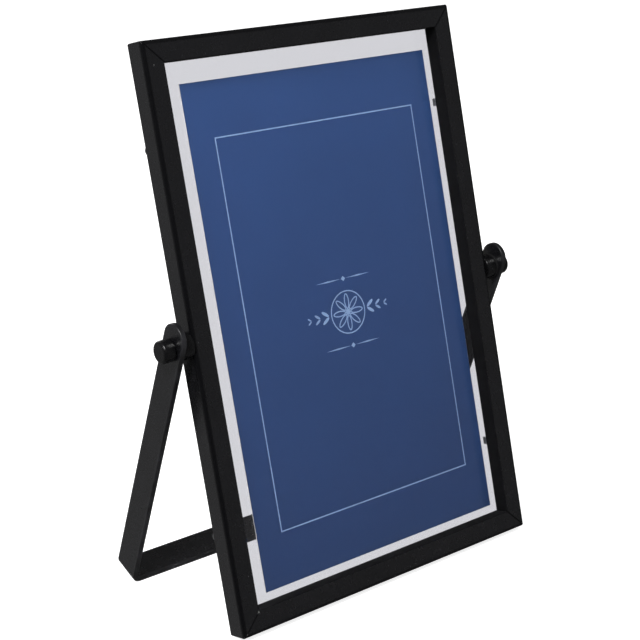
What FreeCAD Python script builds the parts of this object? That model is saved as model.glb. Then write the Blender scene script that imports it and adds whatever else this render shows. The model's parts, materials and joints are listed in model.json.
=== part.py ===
"""Double-glass picture frame that turns in a U-shaped easel stand, in millimetres.

Everything is modelled upright first: X runs across the frame from its middle, Y from its front
face to its back, and Z up from its lower edge. The whole object then leans back until the
frame's lower back edge and the stand's crossbar both touch the table, at Z = 0.
"""
import FreeCAD, Part
import math
import os

from FreeCAD import Rotation, Vector

# Frame and rail section
FRAME_WIDTH = 127.0
FRAME_HEIGHT = 190.0
FACE_WIDTH = 7.3
INNER_WALL_DEPTH = 5.8
LAND_WIDTH = 3.9
SHEET = 0.6
OUTER_EDGE_RADIUS = 1.1
INNER_EDGE_RADIUS = 0.4
STEP_EDGE_RADIUS = 0.25
BACK_EDGE_RADIUS = 0.6
MITRE_CLEARANCE = 0.03
MITRE_EDGE_RADIUS = 0.15

# Panes and print card
GLASS_THICKNESS = 1.0
GLASS_CLEARANCE = 0.3
GLASS_PLAY = 0.05
GLASS_EDGE_CHAMFER = 0.2
CARD_THICKNESS = 0.35
CARD_MARGIN_LEFT = 7.8
CARD_MARGIN_RIGHT = 2.0
CARD_MARGIN_TOP = 6.9
CARD_MARGIN_BOTTOM = 2.4

# Corner keys
KEY_CLEARANCE = 0.1
KEY_ARM = 18.0
KEY_WALL = 0.9
KEY_FLOOR = 1.2
KEY_NOSE = 1.0
POCKETS_PER_ARM = 3

# Turn buttons and their rivets
BUTTON_THICKNESS = 0.5
BUTTON_END_RADIUS = 1.75
BUTTON_TONGUE_WIDTH = 2.6
BUTTON_REACH = 3.95
BUTTON_LIP = 1.4
BUTTON_BEND_RADIUS = 0.3
BUTTON_PLAY = 0.03
BUTTON_SPREAD = 124.0
RIVET_RADIUS = 0.75
RIVET_RUNNING = 0.05
RIVET_SEAT = 0.02
RIVET_HEAD_RADIUS = 1.3
RIVET_HEAD_HEIGHT = 0.55
RIVET_TAIL_RADIUS = 1.05
RIVET_TAIL_LENGTH = 0.6

# Pivots, measured outwards from the side of the frame
PIVOT_RISE = 0.9
PIVOT_DEPTH = 3.2
SCREW_RADIUS = 1.5
SCREW_TIP_CHAMFER = 0.4
THREAD_CLEARANCE = 0.05
SHANK_CLEARANCE = 0.1
INSERT_LENGTH = 3.2
INSERT_COLLAR_RADIUS = 1.85
INSERT_SEAT = 0.02
SPACER_RADIUS = 4.25
SPACER_LENGTH = 4.0
SPACER_EDGE_RADIUS = 0.3
WASHER_RADIUS = 4.6
WASHER_THICKNESS = 0.5
TURN_CLEARANCE = 0.02
HEAD_RADIUS = 3.7
HEAD_LENGTH = 4.5
HEAD_EDGE_RADIUS = 1.0
HEAD_FOOT_EDGE_RADIUS = 0.3
HEAD_COLLAR_RADIUS = 3.0
HEAD_COLLAR_LENGTH = 0.4

# Easel stand, bent from one flat strip
STRIP_WIDTH = 10.4
STRIP_THICKNESS = 1.8
STRIP_EDGE_RADIUS = 0.3
BEND_RADIUS = 1.8
SWING_CLEARANCE = 0.7
LEG_CROWN = 9.0
STAND_ANGLE = math.radians(34.94)

# How far every cutting shape runs past the solid that it cuts
OVERRUN = 1.0

# Sizes that follow from the ones above
FRAME_DEPTH = INNER_WALL_DEPTH + 2 * GLASS_THICKNESS + CARD_THICKNESS + GLASS_PLAY
OPENING_HALF_WIDTH = FRAME_WIDTH / 2 - FACE_WIDTH
GLASS_WIDTH = FRAME_WIDTH - 2 * (LAND_WIDTH + GLASS_CLEARANCE)
GLASS_HEIGHT = FRAME_HEIGHT - 2 * (LAND_WIDTH + GLASS_CLEARANCE)
PIVOT_HEIGHT = FRAME_HEIGHT / 2 + PIVOT_RISE
INSERT_FLANGE_RADIUS = PIVOT_DEPTH - OUTER_EDGE_RADIUS
SIDE_GAP = SPACER_LENGTH + WASHER_THICKNESS + TURN_CLEARANCE
SCREW_SEAT = SIDE_GAP + STRIP_THICKNESS + TURN_CLEARANCE
CORNER_SWING = math.hypot(
    max(PIVOT_HEIGHT, FRAME_HEIGHT - PIVOT_HEIGHT), max(PIVOT_DEPTH, FRAME_DEPTH - PIVOT_DEPTH)
)
LEG_LENGTH = CORNER_SWING + SWING_CLEARANCE + STRIP_THICKNESS

ORIGIN = Vector(0, 0, 0)
X_AXIS = Vector(1, 0, 0)
Y_AXIS = Vector(0, 1, 0)
Z_AXIS = Vector(0, 0, 1)
FULL_TURN = math.degrees(2 * math.pi)
QUARTER_TURN = FULL_TURN / 4

# Each side of the frame, a quarter turn on from the one before: its length and its outer middle
SIDES = {
    "left": (FRAME_HEIGHT, Vector(-FRAME_WIDTH / 2, 0, FRAME_HEIGHT / 2)),
    "top": (FRAME_WIDTH, Vector(0, 0, FRAME_HEIGHT)),
    "right": (FRAME_HEIGHT, Vector(FRAME_WIDTH / 2, 0, FRAME_HEIGHT / 2)),
    "bottom": (FRAME_WIDTH, Vector(0, 0, 0)),
}

# Each corner of the frame, a quarter turn on from the one before: its outermost point
CORNERS = {
    "top_left": Vector(-FRAME_WIDTH / 2, 0, FRAME_HEIGHT),
    "top_right": Vector(FRAME_WIDTH / 2, 0, FRAME_HEIGHT),
    "bottom_right": Vector(FRAME_WIDTH / 2, 0, 0),
    "bottom_left": Vector(-FRAME_WIDTH / 2, 0, 0),
}

# Each turn button: its side, and its share of half the spread along that side
BUTTON_SPREAD_SHARES = {
    "left_upper": ("left", 1),
    "left_lower": ("left", -1),
    "right_upper": ("right", -1),
    "right_lower": ("right", 1),
    "top": ("top", 0),
    "bottom": ("bottom", 0),
}


def in_xy(u, v):
    """Return the point of the XY plane at (u, v)."""
    return Vector(u, v, 0)


def in_xz(u, v):
    """Return the point of the XZ plane at (u, v)."""
    return Vector(u, 0, v)


def in_yz(u, v):
    """Return the point of the YZ plane at (u, v)."""
    return Vector(0, u, v)


def rounded_wire(corners, plane):
    """Return a closed wire through corners (u, v, radius), each rounded by its own radius."""
    points = [plane(u, v) for u, v, radius in corners]
    radii = [radius for u, v, radius in corners]
    arrivals = []
    departures = []
    middles = []
    for index, point in enumerate(points):
        back = (points[index - 1] - point).normalize()
        ahead = (points[(index + 1) % len(points)] - point).normalize()
        half_angle = back.getAngle(ahead) / 2
        reach = radii[index] / math.tan(half_angle)
        arrivals.append(point + back * reach)
        departures.append(point + ahead * reach)
        inwards = (back + ahead).normalize()
        middles.append(point + inwards * (radii[index] / math.sin(half_angle) - radii[index]))
    edges = []
    for index, radius in enumerate(radii):
        if radius > 0:
            edges.append(Part.Arc(arrivals[index], middles[index], departures[index]).toShape())
        following = (index + 1) % len(points)
        edges.append(Part.makeLine(departures[index], arrivals[following]))
    return Part.Wire(edges)


def turned(corners):
    """Return the solid turned about X from an outline of (x, radius from the axis, rounding)."""
    return Part.Face(rounded_wire(corners, in_xy)).revolve(ORIGIN, X_AXIS, FULL_TURN)


def ring(start, stop, bore_radius, rim_radius, rounding):
    """Return a ring about X from start to stop, with its rims rounded."""
    return turned([
        (start, bore_radius, 0),
        (stop, bore_radius, 0),
        (stop, rim_radius, rounding),
        (start, rim_radius, rounding),
    ])


def sharp_edges(solid):
    """Return the edges where two faces meet at a real angle, leaving out smooth joins."""
    found = []
    for edge in solid.Edges:
        middle = edge.valueAt((edge.FirstParameter + edge.LastParameter) / 2)
        normals = [
            face.normalAt(*face.Surface.parameter(middle))
            for face in solid.ancestorsOfType(edge, Part.Face)
        ]
        if len(normals) == 2 and abs(normals[0].dot(normals[1])) < math.cos(math.radians(10)):
            found.append(edge)
    return found


def on_side(shape, side):
    """Return a shape modelled on the left rail, placed on the named side of the frame."""
    placed = shape.copy()
    placed.rotate(ORIGIN, Y_AXIS, list(SIDES).index(side) * QUARTER_TURN)
    placed.translate(SIDES[side][1])
    return placed


def at_pivot(shape, side):
    """Return a shape modelled about X, outwards from the frame's side, placed at its pivot."""
    placed = shape.copy()
    if side == "left":
        placed.rotate(ORIGIN, Z_AXIS, 2 * QUARTER_TURN)
    placed.translate(Vector(SIDES[side][1].x, PIVOT_DEPTH, PIVOT_HEIGHT))
    return placed


def button_seat(place):
    """Return the side that carries a turn button and its seat there, in that side's own place."""
    side, spread_share = BUTTON_SPREAD_SHARES[place]
    return side, Vector(LAND_WIDTH / 2, FRAME_DEPTH, spread_share * BUTTON_SPREAD / 2)


# Rails

def rail_section():
    """Return the section of the folded rail: a box in front and a narrow land behind."""
    outside = rounded_wire([
        (0, 0, OUTER_EDGE_RADIUS),
        (FACE_WIDTH, 0, INNER_EDGE_RADIUS),
        (FACE_WIDTH, INNER_WALL_DEPTH, STEP_EDGE_RADIUS),
        (LAND_WIDTH, INNER_WALL_DEPTH, 0),
        (LAND_WIDTH, FRAME_DEPTH, STEP_EDGE_RADIUS),
        (0, FRAME_DEPTH, BACK_EDGE_RADIUS),
    ], in_xy)
    inside = rounded_wire([
        (SHEET, SHEET, max(OUTER_EDGE_RADIUS - SHEET, 0)),
        (FACE_WIDTH - SHEET, SHEET, 0),
        (FACE_WIDTH - SHEET, INNER_WALL_DEPTH - SHEET, 0),
        (LAND_WIDTH - SHEET, INNER_WALL_DEPTH - SHEET, 0),
        (LAND_WIDTH - SHEET, FRAME_DEPTH - SHEET, 0),
        (SHEET, FRAME_DEPTH - SHEET, max(BACK_EDGE_RADIUS - SHEET, 0)),
    ], in_xy)
    return Part.Face(outside).cut(Part.Face(inside)).Faces[0]


def mitred_rail(length):
    """Return one hollow rail along Z, its outer side at X = 0, its mitred ends' rims dressed."""
    tube = rail_section().extrude(Vector(0, 0, length))
    tube.translate(Vector(0, 0, -length / 2))
    outer_end = length / 2 - MITRE_CLEARANCE + OVERRUN
    inner_end = length / 2 - MITRE_CLEARANCE - FACE_WIDTH - OVERRUN
    outline = rounded_wire([
        (-OVERRUN, -outer_end, 0),
        (FACE_WIDTH + OVERRUN, -inner_end, 0),
        (FACE_WIDTH + OVERRUN, inner_end, 0),
        (-OVERRUN, outer_end, 0),
    ], in_xz)
    keep = Part.Face(outline).extrude(Vector(0, FRAME_DEPTH + 2 * OVERRUN, 0))
    keep.translate(Vector(0, -OVERRUN, 0))
    rail = tube.common(keep)
    mitres = [face for face in rail.Faces if abs(face.normalAt(0, 0).z) > math.sin(math.radians(10))]
    rims = [edge for mitre in mitres for edge in mitre.OuterWire.Edges]
    return rail.makeFillet(MITRE_EDGE_RADIUS, rims)


def rails():
    """Return the four rails, bored for the pivots' inserts and the turn buttons' rivets."""
    made = {}
    for side, (length, _) in SIDES.items():
        body = mitred_rail(length)
        for place in BUTTON_SPREAD_SHARES:
            carrier, seat = button_seat(place)
            if carrier == side:
                start = seat - Y_AXIS * (SHEET + OVERRUN)
                depth = SHEET + 2 * OVERRUN
                body = body.cut(Part.makeCylinder(RIVET_RADIUS + RIVET_SEAT, depth, start, Y_AXIS))
        body = on_side(body, side)
        if side in ("left", "right"):
            bore_radius = INSERT_COLLAR_RADIUS + INSERT_SEAT
            start = Vector(-SHEET - OVERRUN, 0, 0)
            bore = Part.makeCylinder(bore_radius, SHEET + 2 * OVERRUN, start, X_AXIS)
            body = body.cut(at_pivot(bore, side))
        made[side + "_rail"] = body
    return made


# Corner keys

def key_arm():
    """Return one arm of a corner key along X, from the corner's outermost point at the origin."""
    near = SHEET + KEY_CLEARANCE
    width = FACE_WIDTH - 2 * near
    depth = INNER_WALL_DEPTH - 2 * near
    outline = rounded_wire([
        (near, -near, 0),
        (KEY_ARM - KEY_NOSE, -near, 0),
        (KEY_ARM, -near - KEY_NOSE, 0),
        (KEY_ARM, -near - width + KEY_NOSE, 0),
        (KEY_ARM - KEY_NOSE, -near - width, 0),
        (near, -near - width, 0),
    ], in_xz)
    arm = Part.Face(outline).extrude(Vector(0, depth, 0))
    arm.translate(Vector(0, near, 0))
    return arm


def key_pockets():
    """Return the moulded pockets of one arm, open towards the front of the frame."""
    near = SHEET + KEY_CLEARANCE
    width = FACE_WIDTH - 2 * (near + KEY_WALL)
    depth = INNER_WALL_DEPTH - 2 * near - KEY_FLOOR
    first = FACE_WIDTH
    pitch = (KEY_ARM - KEY_NOSE - first) / POCKETS_PER_ARM
    pockets = []
    for index in range(POCKETS_PER_ARM):
        corner = Vector(first + index * pitch, near - OVERRUN, -near - KEY_WALL - width)
        pockets.append(Part.makeBox(pitch - KEY_WALL, depth + OVERRUN, width, corner))
    return Part.makeCompound(pockets)


def corner_keys():
    """Return the four moulded keys that hold the rails together, one inside each corner."""
    across = key_arm()
    down = across.mirror(ORIGIN, Vector(1, 0, 1))
    body = across.fuse(down).removeSplitter()
    for pockets in (key_pockets(), key_pockets().mirror(ORIGIN, Vector(1, 0, 1))):
        body = body.cut(pockets)
    rounding = max(OUTER_EDGE_RADIUS - SHEET - KEY_CLEARANCE, 0)
    if rounding > 0:
        near = SHEET + KEY_CLEARANCE
        front_edges = [
            edge for edge in body.Edges
            if edge.BoundBox.YMax - near < rounding / 10
            and min(abs(edge.BoundBox.XMax - near), abs(edge.BoundBox.ZMin + near)) < rounding / 10
        ]
        body = body.makeChamfer(rounding, front_edges)
    made = {}
    for quarters, (corner, point) in enumerate(CORNERS.items()):
        key = body.copy()
        key.rotate(ORIGIN, Y_AXIS, quarters * QUARTER_TURN)
        key.translate(point)
        made["corner_key_" + corner] = key
    return made


# Panes and print card

def pane():
    """Return one pane of glass behind the plane Y = 0, with its edges ground."""
    corner = Vector(-GLASS_WIDTH / 2, 0, (FRAME_HEIGHT - GLASS_HEIGHT) / 2)
    sheet = Part.makeBox(GLASS_WIDTH, GLASS_THICKNESS, GLASS_HEIGHT, corner)
    rim = [
        edge for edge in sheet.Edges
        if edge.BoundBox.YLength < GLASS_THICKNESS / 2
    ]
    return sheet.makeChamfer(GLASS_EDGE_CHAMFER, rim)


def glazing():
    """Return the front pane, the print card and the back pane, stacked behind the rails' step."""
    front = pane()
    front.translate(Y_AXIS * INNER_WALL_DEPTH)
    back = pane()
    back.translate(Y_AXIS * (INNER_WALL_DEPTH + GLASS_THICKNESS + CARD_THICKNESS))
    left = -OPENING_HALF_WIDTH + CARD_MARGIN_LEFT
    right = OPENING_HALF_WIDTH - CARD_MARGIN_RIGHT
    low = FACE_WIDTH + CARD_MARGIN_BOTTOM
    high = FRAME_HEIGHT - FACE_WIDTH - CARD_MARGIN_TOP
    corner = Vector(left, INNER_WALL_DEPTH + GLASS_THICKNESS, low)
    card = Part.makeBox(right - left, CARD_THICKNESS, high - low, corner)
    return {"front_glass": front, "print_card": card, "back_glass": back}


# Turn buttons and rivets

def turn_button():
    """Return a button pivoted at the origin, its tongue along X and its lip turned up along Y."""
    half_tongue = BUTTON_TONGUE_WIDTH / 2
    round_end = Part.Arc(
        in_xz(0, BUTTON_END_RADIUS), in_xz(-BUTTON_END_RADIUS, 0), in_xz(0, -BUTTON_END_RADIUS)
    ).toShape()
    tongue = Part.makePolygon([
        in_xz(0, -BUTTON_END_RADIUS),
        in_xz(BUTTON_REACH, -half_tongue),
        in_xz(BUTTON_REACH, half_tongue),
        in_xz(0, BUTTON_END_RADIUS),
    ])
    plan = Part.Face(Part.Wire([round_end] + tongue.Edges)).extrude(Vector(0, BUTTON_LIP, 0))
    bent_strip = Part.Face(rounded_wire([
        (-BUTTON_END_RADIUS, 0, 0),
        (BUTTON_REACH, 0, BUTTON_BEND_RADIUS + BUTTON_THICKNESS),
        (BUTTON_REACH, BUTTON_LIP, 0),
        (BUTTON_REACH - BUTTON_THICKNESS, BUTTON_LIP, 0),
        (BUTTON_REACH - BUTTON_THICKNESS, BUTTON_THICKNESS, BUTTON_BEND_RADIUS),
        (-BUTTON_END_RADIUS, BUTTON_THICKNESS, 0),
    ], in_xy)).extrude(Vector(0, 0, 2 * BUTTON_END_RADIUS))
    bent_strip.translate(Vector(0, 0, -BUTTON_END_RADIUS))
    hole = Part.makeCylinder(RIVET_RADIUS + RIVET_RUNNING, BUTTON_LIP, ORIGIN, Y_AXIS)
    button = plan.common(bent_strip).cut(hole)
    button.translate(Y_AXIS * BUTTON_PLAY)
    return button


def rivet():
    """Return a rivet about Y: a domed head over a button at Y = 0 and a tail inside the rail."""
    under_head = 2 * BUTTON_PLAY + BUTTON_THICKNESS
    top = under_head + RIVET_HEAD_HEIGHT
    dome = (RIVET_HEAD_RADIUS ** 2 + RIVET_HEAD_HEIGHT ** 2) / (2 * RIVET_HEAD_HEIGHT)
    half_sweep = math.asin(RIVET_HEAD_RADIUS / dome) / 2
    shoulder = in_xy(dome * math.sin(half_sweep), top - dome * (1 - math.cos(half_sweep)))
    crown = Part.Arc(in_xy(RIVET_HEAD_RADIUS, under_head), shoulder, in_xy(0, top)).toShape()
    shank = Part.makePolygon([
        in_xy(0, top),
        in_xy(0, -SHEET - RIVET_TAIL_LENGTH),
        in_xy(RIVET_TAIL_RADIUS, -SHEET - RIVET_TAIL_LENGTH),
        in_xy(RIVET_TAIL_RADIUS, -SHEET),
        in_xy(RIVET_RADIUS, -SHEET),
        in_xy(RIVET_RADIUS, under_head),
        in_xy(RIVET_HEAD_RADIUS, under_head),
    ])
    return Part.Face(Part.Wire([crown] + shank.Edges)).revolve(ORIGIN, Y_AXIS, FULL_TURN)


def back_catches():
    """Return the turn buttons that hold the panes in, and the rivets that they turn on."""
    made = {}
    rivets = []
    for place in BUTTON_SPREAD_SHARES:
        side, seat = button_seat(place)
        for name, shape in (("turn_button_" + place, turn_button()), ("rivet", rivet())):
            shape.translate(seat)
            placed = on_side(shape, side)
            if name == "rivet":
                rivets.append(placed)
            else:
                made[name] = placed
    made["button_rivets"] = Part.makeCompound(rivets)
    return made


# Pivots

def threaded_insert():
    """Return the insert: a collar in the rail's wall and a flange behind it, bored through."""
    bore = SCREW_RADIUS + THREAD_CLEARANCE
    return turned([
        (0, bore, 0),
        (0, INSERT_COLLAR_RADIUS, 0),
        (-SHEET, INSERT_COLLAR_RADIUS, 0),
        (-SHEET, INSERT_FLANGE_RADIUS, 0),
        (-INSERT_LENGTH, INSERT_FLANGE_RADIUS, 0),
        (-INSERT_LENGTH, bore, 0),
    ])


def thumb_screw():
    """Return the pivot screw: a shank through the leg and a round head to turn by hand."""
    end = SCREW_SEAT + HEAD_LENGTH
    step = SCREW_SEAT + HEAD_COLLAR_LENGTH
    return turned([
        (-INSERT_LENGTH, 0, 0),
        (-INSERT_LENGTH, SCREW_RADIUS - SCREW_TIP_CHAMFER, 0),
        (-INSERT_LENGTH + SCREW_TIP_CHAMFER, SCREW_RADIUS, 0),
        (SCREW_SEAT, SCREW_RADIUS, 0),
        (SCREW_SEAT, HEAD_COLLAR_RADIUS, 0),
        (step, HEAD_COLLAR_RADIUS, 0),
        (step, HEAD_RADIUS, HEAD_FOOT_EDGE_RADIUS),
        (end, HEAD_RADIUS, HEAD_EDGE_RADIUS),
        (end, 0, 0),
    ])


def pivots():
    """Return the insert, spacer, friction washer and thumb screw of both pivots."""
    bore = SCREW_RADIUS + SHANK_CLEARANCE
    washer_end = SPACER_LENGTH + WASHER_THICKNESS
    pieces = {
        "threaded_insert": threaded_insert(),
        "spacer": ring(0, SPACER_LENGTH, bore, SPACER_RADIUS, SPACER_EDGE_RADIUS),
        "friction_washer": ring(SPACER_LENGTH, washer_end, bore, WASHER_RADIUS, 0),
        "thumb_screw": thumb_screw(),
    }
    return {
        name + "_" + side: at_pivot(shape, side)
        for side in ("left", "right")
        for name, shape in pieces.items()
    }


# Easel stand

def easel_stand():
    """Return the stand: one strip bent into a U, with round ends above its pivots."""
    outside = FRAME_WIDTH / 2 + SIDE_GAP + STRIP_THICKNESS
    inside = FRAME_WIDTH / 2 + SIDE_GAP
    foot = -LEG_LENGTH
    strip = Part.Face(rounded_wire([
        (-outside, LEG_CROWN, 0),
        (-outside, foot, BEND_RADIUS + STRIP_THICKNESS),
        (outside, foot, BEND_RADIUS + STRIP_THICKNESS),
        (outside, LEG_CROWN, 0),
        (inside, LEG_CROWN, 0),
        (inside, foot + STRIP_THICKNESS, BEND_RADIUS),
        (-inside, foot + STRIP_THICKNESS, BEND_RADIUS),
        (-inside, LEG_CROWN, 0),
    ], in_xz)).extrude(Vector(0, STRIP_WIDTH, 0))
    strip.translate(Vector(0, -STRIP_WIDTH / 2, 0))

    half = STRIP_WIDTH / 2
    shoulder = LEG_CROWN - half
    crown = Part.Arc(in_yz(half, shoulder), in_yz(0, LEG_CROWN), in_yz(-half, shoulder)).toShape()
    sides = Part.makePolygon([
        in_yz(-half, shoulder),
        in_yz(-half, foot - OVERRUN),
        in_yz(half, foot - OVERRUN),
        in_yz(half, shoulder),
    ])
    round_topped = Part.Face(Part.Wire([crown] + sides.Edges))
    round_topped = round_topped.extrude(Vector(2 * (outside + OVERRUN), 0, 0))
    round_topped.translate(Vector(-outside - OVERRUN, 0, 0))

    body = strip.common(round_topped)
    body = body.makeFillet(STRIP_EDGE_RADIUS, sharp_edges(body))
    start = Vector(-outside - OVERRUN, 0, 0)
    length = 2 * (outside + OVERRUN)
    bores = Part.makeCylinder(SCREW_RADIUS + SHANK_CLEARANCE, length, start, X_AXIS)
    body = body.cut(bores)
    body.rotate(ORIGIN, X_AXIS, math.degrees(STAND_ANGLE))
    body.translate(Vector(0, PIVOT_DEPTH, PIVOT_HEIGHT))
    return {"easel_stand": body}


# Resting place

def leaned_back():
    """Return the placement that leans the upright object back until it stands on the table.

    The table touches two rounded edges, so its slope is that of their common tangent.
    """
    heel = Vector(0, FRAME_DEPTH - BACK_EDGE_RADIUS, BACK_EDGE_RADIUS)
    along = Vector(0, math.sin(STAND_ANGLE), -math.cos(STAND_ANGLE))
    across = Vector(0, math.cos(STAND_ANGLE), math.sin(STAND_ANGLE))
    pivot = Vector(0, PIVOT_DEPTH, PIVOT_HEIGHT)
    toe = pivot + along * (LEG_LENGTH - STRIP_EDGE_RADIUS)
    toe = toe - across * (STRIP_WIDTH / 2 - STRIP_EDGE_RADIUS)
    span = toe - heel
    slope = math.atan2(span.z, span.y)
    lean = slope + math.asin((BACK_EDGE_RADIUS - STRIP_EDGE_RADIUS) / span.Length)
    turn = Rotation(X_AXIS, -math.degrees(lean))
    return FreeCAD.Placement(Vector(0, 0, BACK_EDGE_RADIUS - turn.multVec(heel).z), turn)


def on_table(parts):
    """Return the placement from the upright frame to the table, centred under all the parts."""
    placement = leaned_back()
    whole = Part.makeCompound(list(parts.values()))
    whole.Placement = placement
    bounds = whole.optimalBoundingBox()
    placement.move(Vector(-bounds.Center.x, -bounds.Center.y, 0))
    return placement


def upright_parts():
    """Return every sub-part by name, with the frame upright."""
    parts = {}
    for group in (rails(), corner_keys(), glazing(), back_catches(), pivots(), easel_stand()):
        parts.update(group)
    return parts


def build():
    """Write every sub-part, standing on the table, to its own file."""
    parts = upright_parts()
    placement = on_table(parts)
    os.makedirs("parts", exist_ok=True)
    for node, shape in parts.items():
        shape.Placement = placement.multiply(shape.Placement)
        shape.exportStep("parts/" + node + ".step")


build()
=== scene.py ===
"""Looks of a double-glass picture frame that turns in a U-shaped easel stand.

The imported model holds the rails, the stand and the pivots at their real size. This script dresses
them, models the panes, the printed card and its fine lines afresh, and sets up a small studio.
Lengths are in millimetres unless a name or a comment says otherwise, and MM turns them to metres.
"""

import json
import logging
import math
from collections.abc import Callable, Iterator
from contextlib import contextmanager
from dataclasses import dataclass
from enum import Enum, IntEnum

import bmesh
import bpy
from mathutils import Matrix, Vector

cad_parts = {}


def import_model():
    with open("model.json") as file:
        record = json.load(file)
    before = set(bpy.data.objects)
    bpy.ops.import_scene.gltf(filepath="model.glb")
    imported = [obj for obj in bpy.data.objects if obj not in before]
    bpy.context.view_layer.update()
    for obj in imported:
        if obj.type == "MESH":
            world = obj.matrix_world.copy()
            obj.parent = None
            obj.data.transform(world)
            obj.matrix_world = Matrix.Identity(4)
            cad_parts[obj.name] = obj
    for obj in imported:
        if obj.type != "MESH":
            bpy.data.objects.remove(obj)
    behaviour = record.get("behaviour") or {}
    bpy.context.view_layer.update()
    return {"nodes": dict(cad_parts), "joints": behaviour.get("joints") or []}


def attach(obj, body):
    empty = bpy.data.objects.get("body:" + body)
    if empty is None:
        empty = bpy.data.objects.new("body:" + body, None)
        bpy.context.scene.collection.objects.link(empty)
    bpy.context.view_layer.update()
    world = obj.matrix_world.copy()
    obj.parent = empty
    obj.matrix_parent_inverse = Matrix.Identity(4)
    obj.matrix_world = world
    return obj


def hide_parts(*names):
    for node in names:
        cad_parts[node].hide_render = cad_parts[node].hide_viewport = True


Piece = bpy.types.Object
Nodes = dict[str, Piece]
Socket = bpy.types.NodeSocket
Wanted = Callable[[bmesh.types.BMFace], bool]
Place = tuple[Vector, float, float]  # a mark's middle, its turn in radians, and its size

LOG = logging.getLogger("photo_frame")
MM = 0.001
WAVE_RATE = 20  # radians of a wave texture for each unit of its scale and its coordinates
FACING = 0.9  # a face looks along an axis when its normal's share of that axis is over this
GLASS_IOR = 1.52
NOISE_LOW = 0.3  # most of a noise lies between these two
NOISE_HIGH = 0.7
NO_BOUNCE = 0.5  # bounces are counted whole, so a count is over this or it is none


class Layers(IntEnum):
    """How many layers a noise has, each twice as fine as the one before."""

    PLAIN = 2
    CLOUDY = 3
    GRAINY = 4
    FIBROUS = 5


class Sides(IntEnum):
    """How many sides a small printed shape has."""

    DIAMOND = 4
    LEAF = 24
    OVAL = 32
    RING = 96


class Fill(Enum):
    """How a small printed shape is drawn."""

    SOLID = "solid"
    LINE = "line"


# Small helpers

def linear(hex_colour: str) -> tuple[float, float, float, float]:
    """Turn an sRGB hex colour to the linear values that shaders take.

    Args:
        hex_colour: six hex digits after a hash mark.

    Returns:
        Linear red, green and blue, and an alpha of 1.
    """
    shares = [int(hex_colour[i:i + 2], 16) / 255 for i in (1, 3, 5)]
    light = [s / 12.92 if s <= 0.04045 else ((s + 0.055) / 1.055) ** 2.4 for s in shares]
    return (*light, 1.0)


def add_node(
    tree: bpy.types.NodeTree,
    kind: str,
    inputs: dict[str | int, object] | None = None,
    **settings: object,
) -> bpy.types.Node:
    """Add one shader node with its settings, values and links.

    Args:
        tree: the node tree that gets the node.
        kind: the node's type name.
        inputs: an output socket to link, or a value, for each input by its name or place.
        settings: the node's own properties.

    Returns:
        The new node.
    """
    node = tree.nodes.new(kind)
    for name, value in settings.items():
        setattr(node, name, value)
    for name, value in (inputs or {}).items():
        if isinstance(value, Socket):
            tree.links.new(value, node.inputs[name])
        else:
            node.inputs[name].default_value = value
    return node


def pick(*pieces: Piece) -> None:
    """Select these pieces and no others.

    Args:
        pieces: the pieces, of which the first is made active.
    """
    bpy.ops.object.select_all(action="DESELECT")
    for piece in pieces:
        piece.select_set(True)
    bpy.context.view_layer.objects.active = pieces[0]


@contextmanager
def editing(piece: Piece) -> Iterator[None]:
    """Open a piece in edit mode with nothing selected, and close it again.

    Args:
        piece: the mesh object to edit.
    """
    pick(piece)
    bpy.ops.object.mode_set(mode="EDIT")
    bpy.ops.mesh.select_all(action="DESELECT")
    yield
    bpy.ops.object.mode_set(mode="OBJECT")


def select_faces(piece: Piece, wanted: Wanted) -> None:
    """Select, in edit mode, the faces that a test wants and no others.

    Args:
        piece: the mesh object in edit mode.
        wanted: says of a face whether it is selected.
    """
    bpy.ops.mesh.select_mode(type="FACE")
    bpy.ops.mesh.select_all(action="DESELECT")
    mesh = bmesh.from_edit_mesh(piece.data)
    for face in mesh.faces:
        face.select_set(wanted(face))
    bmesh.update_edit_mesh(piece.data)


def faces_front_or_back(face: bmesh.types.BMFace) -> bool:
    """Say whether a face of an upright piece looks to the front or the back."""
    return abs(face.normal.y) > FACING


def faces_front(face: bmesh.types.BMFace) -> bool:
    """Say whether a face of an upright piece looks to the front."""
    return face.normal.y < -FACING


def copy_of(piece: Piece, name: str, place: Matrix) -> Piece:
    """Copy a piece, with a mesh of its own.

    Args:
        piece: the piece that was modelled.
        name: the copy's name.
        place: what moves the copy from the piece's own place.

    Returns:
        The copy.
    """
    made = piece.copy()
    made.data = piece.data.copy()
    made.name = name
    bpy.context.scene.collection.objects.link(made)
    made.matrix_world = place
    return made


def join(pieces: list[Piece], name: str) -> Piece:
    """Join meshes into the first of them and name it.

    Args:
        pieces: the meshes.
        name: the joined piece's name.

    Returns:
        The joined piece.
    """
    pick(*pieces)
    bpy.ops.object.join()
    pieces[0].name = name
    return pieces[0]


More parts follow.
